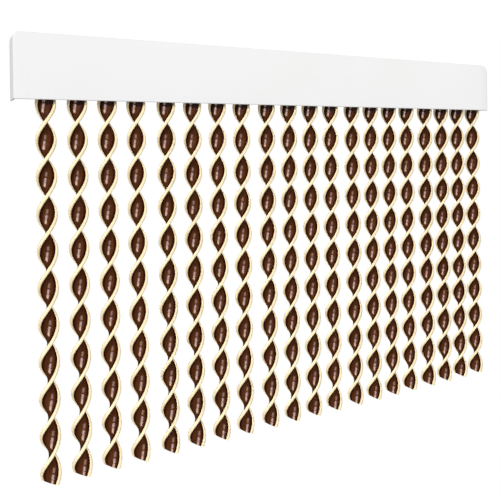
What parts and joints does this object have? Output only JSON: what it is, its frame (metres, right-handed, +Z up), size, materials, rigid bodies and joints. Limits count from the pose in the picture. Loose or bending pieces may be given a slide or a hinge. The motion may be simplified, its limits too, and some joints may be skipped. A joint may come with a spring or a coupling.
{
  "type": "spiral strip door curtain with pelmet rail",
  "caption": "Door curtain of twisted brown plastic strips with cream beaded edges, hung in a row from a white box pelmet rail that fixes to the wall.",
  "frame": {"origin": "middle of the pelmet rail's flat back face, which lies on the wall", "axes": "+X along the pelmet to the viewer's right, +Y into the wall, +Z up"},
  "size_m": [0.9, 0.04, 0.616],
  "materials": {
    "pelmet_white": "satin white",
    "strip_brown": "glossy dark brown",
    "strip_cream": "glossy cream, the beads along the strips' edges"
  },
  "bodies": {
    "root": {"pelmet_rail": "pelmet_white", "end_cap_left": "pelmet_white", "end_cap_right": "pelmet_white", "strip_group_1": "strip_brown", "strip_group_2": "strip_brown", "strip_group_3": "strip_brown", "strip_group_4": "strip_brown", "strip_group_5": "strip_brown"}
  },
  "joints": []
}
